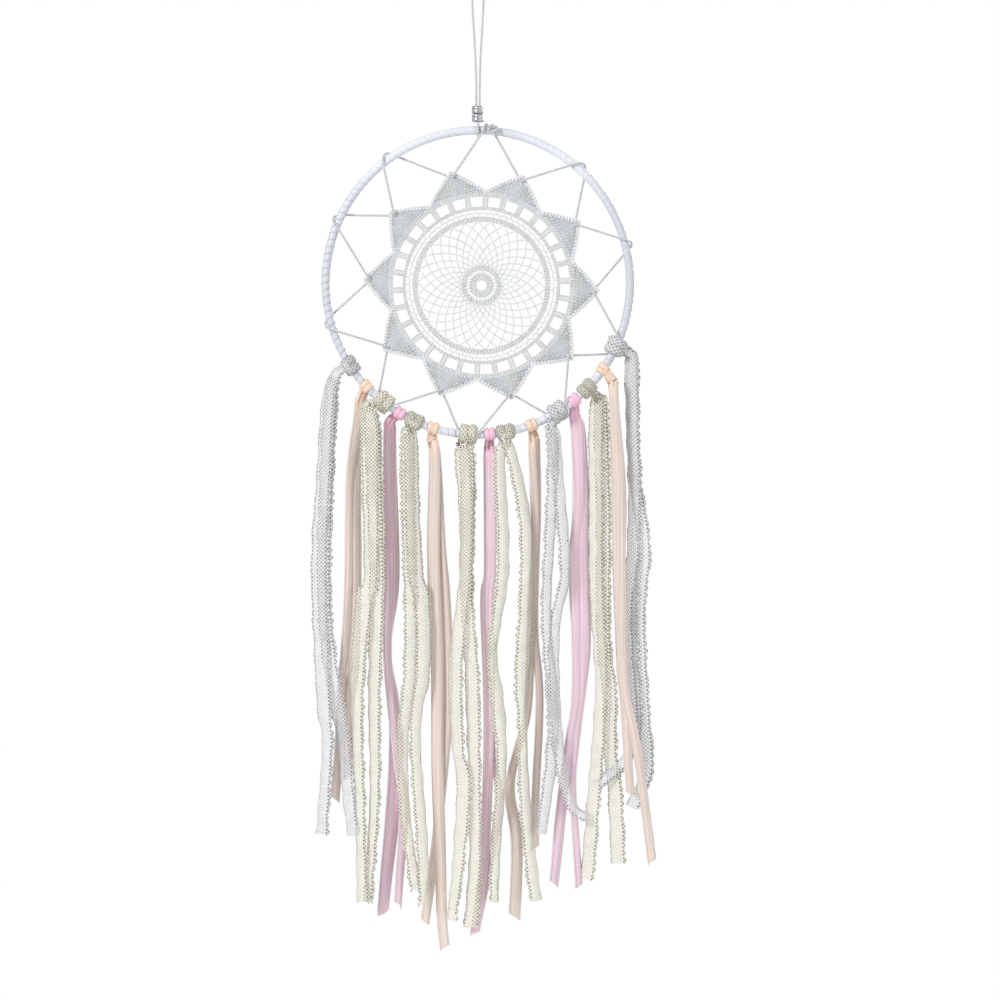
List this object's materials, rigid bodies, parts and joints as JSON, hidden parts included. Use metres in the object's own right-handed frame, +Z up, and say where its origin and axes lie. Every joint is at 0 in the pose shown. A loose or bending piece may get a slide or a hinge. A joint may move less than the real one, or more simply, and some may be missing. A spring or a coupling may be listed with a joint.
{
  "type": "dream catcher",
  "caption": "Hanging dream catcher: a wrapped round hoop with a crocheted star laced inside it, a beaded hanging loop, and doubled satin ribbon and lace streamers.",
  "frame": {"origin": "the top of the hanging loop, at the point inside it where a hook carries it", "axes": "+Z up along the hanging cord, -Y out of the front face, +X to the right seen from the front"},
  "size_m": [0.2224, 0.0136, 0.6253],
  "materials": {
    "steel": "plain drawn wire",
    "bead_metal": "ridged, bright on the ridges and dark in the grooves",
    "white_satin": "satin ribbon wound round the tube",
    "crochet_cotton": "crocheted cotton thread, matt",
    "cotton_cord": "twisted cotton cord, matt",
    "white_lace": "cotton lace with a scalloped edge",
    "cream_lace": "cotton lace with a scalloped edge",
    "peach_ribbon": "soft satin sheen",
    "pink_ribbon": "soft satin sheen"
  },
  "bodies": {
    "hanger": {"hanging_loop": "cotton_cord"},
    "hitch": {"hanging_hitch": "cotton_cord"},
    "lower_bead": {"bead_lower": "bead_metal"},
    "upper_bead": {"bead_upper": "bead_metal"},
    "hoop": {"hoop_core": "steel", "hoop_wrap": "white_satin", "doily": "crochet_cotton", "web_cord": "cotton_cord", "cream_lace_1_knot": "cream_lace", "cream_lace_2_knot": "cream_lace", "cream_lace_3_knot": "cream_lace", "cream_lace_4_knot": "cream_lace", "cream_lace_5_knot": "cream_lace", "peach_ribbon_1_knot": "peach_ribbon", "peach_ribbon_2_knot": "peach_ribbon", "peach_ribbon_3_knot": "peach_ribbon", "peach_ribbon_4_knot": "peach_ribbon", "pink_ribbon_1_knot": "pink_ribbon", "pink_ribbon_2_knot": "pink_ribbon", "pink_ribbon_3_knot": "pink_ribbon", "white_lace_1_knot": "white_lace", "white_lace_2_knot": "white_lace", "white_lace_3_knot": "white_lace"},
    "cream_lace_1": {"cream_lace_1_tails": "cream_lace"},
    "cream_lace_2": {"cream_lace_2_tails": "cream_lace"},
    "cream_lace_3": {"cream_lace_3_tails": "cream_lace"},
    "cream_lace_4": {"cream_lace_4_tails": "cream_lace"},
    "cream_lace_5": {"cream_lace_5_tails": "cream_lace"},
    "peach_ribbon_1": {"peach_ribbon_1_tails": "peach_ribbon"},
    "peach_ribbon_2": {"peach_ribbon_2_tails": "peach_ribbon"},
    "peach_ribbon_3": {"peach_ribbon_3_tails": "peach_ribbon"},
    "peach_ribbon_4": {"peach_ribbon_4_tails": "peach_ribbon"},
    "pink_ribbon_1": {"pink_ribbon_1_tails": "pink_ribbon"},
    "pink_ribbon_2": {"pink_ribbon_2_tails": "pink_ribbon"},
    "pink_ribbon_3": {"pink_ribbon_3_tails": "pink_ribbon"},
    "white_lace_1": {"white_lace_1_tails": "white_lace"},
    "white_lace_2": {"white_lace_2_tails": "white_lace"},
    "white_lace_3": {"white_lace_3_tails": "white_lace"}
  },
  "joints": [
    {"name": "cord_twist", "type": "hinge", "parent": "hanger", "child": "hitch", "pos_m": [0, 0, 0], "axis": [0, 0, 1], "range_deg": [-170, 170]},
    {"name": "lower_bead_slide", "type": "slide", "parent": "hitch", "child": "lower_bead", "axis": [0, 0, 1], "range_m": [0, 0.006]},
    {"name": "upper_bead_slide", "type": "slide", "parent": "lower_bead", "child": "upper_bead", "axis": [0, 0, 1], "range_m": [0, 0.006]},
    {"name": "hoop_swing", "type": "hinge", "parent": "hitch", "child": "hoop", "pos_m": [0, 0, -0.09925], "axis": [1, 0, 0], "range_deg": [-25, 25]},
    {"name": "cream_lace_1_swing", "type": "hinge", "parent": "hoop", "child": "cream_lace_1", "pos_m": [-0.07202, -0.00265, -0.27577], "axis": [-1, 0, 0], "range_deg": [0, 35]},
    {"name": "cream_lace_2_swing", "type": "hinge", "parent": "hoop", "child": "cream_lace_2", "pos_m": [-0.04381, -0.00265, -0.29193], "axis": [-1, 0, 0], "range_deg": [0, 35]},
    {"name": "cream_lace_3_swing", "type": "hinge", "parent": "hoop", "child": "cream_lace_3", "pos_m": [-0.01143, -0.00265, -0.30092], "axis": [-1, 0, 0], "range_deg": [0, 35]},
    {"name": "cream_lace_4_swing", "type": "hinge", "parent": "hoop", "child": "cream_lace_4", "pos_m": [0.01832, -0.00265, -0.29993], "axis": [-1, 0, 0], "range_deg": [0, 35]},
    {"name": "cream_lace_5_swing", "type": "hinge", "parent": "hoop", "child": "cream_lace_5", "pos_m": [0.07725, 0.00265, -0.27117], "axis": [1, 0, 0], "range_deg": [0, 35]},
    {"name": "peach_ribbon_1_swing", "type": "hinge", "parent": "hoop", "child": "peach_ribbon_1", "pos_m": [-0.0751, 0.00265, -0.27231], "axis": [1, 0, 0], "range_deg": [0, 35]},
    {"name": "peach_ribbon_2_swing", "type": "hinge", "parent": "hoop", "child": "peach_ribbon_2", "pos_m": [-0.02945, 0.00265, -0.29744], "axis": [1, 0, 0], "range_deg": [0, 35]},
    {"name": "peach_ribbon_3_swing", "type": "hinge", "parent": "hoop", "child": "peach_ribbon_3", "pos_m": [0.0358, 0.00265, -0.29536], "axis": [1, 0, 0], "range_deg": [0, 35]},
    {"name": "peach_ribbon_4_swing", "type": "hinge", "parent": "hoop", "child": "peach_ribbon_4", "pos_m": [0.08594, -0.00265, -0.26056], "axis": [-1, 0, 0], "range_deg": [0, 35]},
    {"name": "pink_ribbon_1_swing", "type": "hinge", "parent": "hoop", "child": "pink_ribbon_1", "pos_m": [-0.05631, 0.00265, -0.28587], "axis": [1, 0, 0], "range_deg": [0, 35]},
    {"name": "pink_ribbon_2_swing", "type": "hinge", "parent": "hoop", "child": "pink_ribbon_2", "pos_m": [0.00723, 0.00265, -0.3014], "axis": [1, 0, 0], "range_deg": [0, 35]},
    {"name": "pink_ribbon_3_swing", "type": "hinge", "parent": "hoop", "child": "pink_ribbon_3", "pos_m": [0.0621, 0.00265, -0.28234], "axis": [1, 0, 0], "range_deg": [0, 35]},
    {"name": "white_lace_1_swing", "type": "hinge", "parent": "hoop", "child": "white_lace_1", "pos_m": [-0.09117, -0.00265, -0.25534], "axis": [-1, 0, 0], "range_deg": [0, 35]},
    {"name": "white_lace_2_swing", "type": "hinge", "parent": "hoop", "child": "white_lace_2", "pos_m": [0.04673, -0.00265, -0.29061], "axis": [-1, 0, 0], "range_deg": [0, 35]},
    {"name": "white_lace_3_swing", "type": "hinge", "parent": "hoop", "child": "white_lace_3", "pos_m": [0.09778, 0.00265, -0.24369], "axis": [1, 0, 0], "range_deg": [0, 35]}
  ]
}
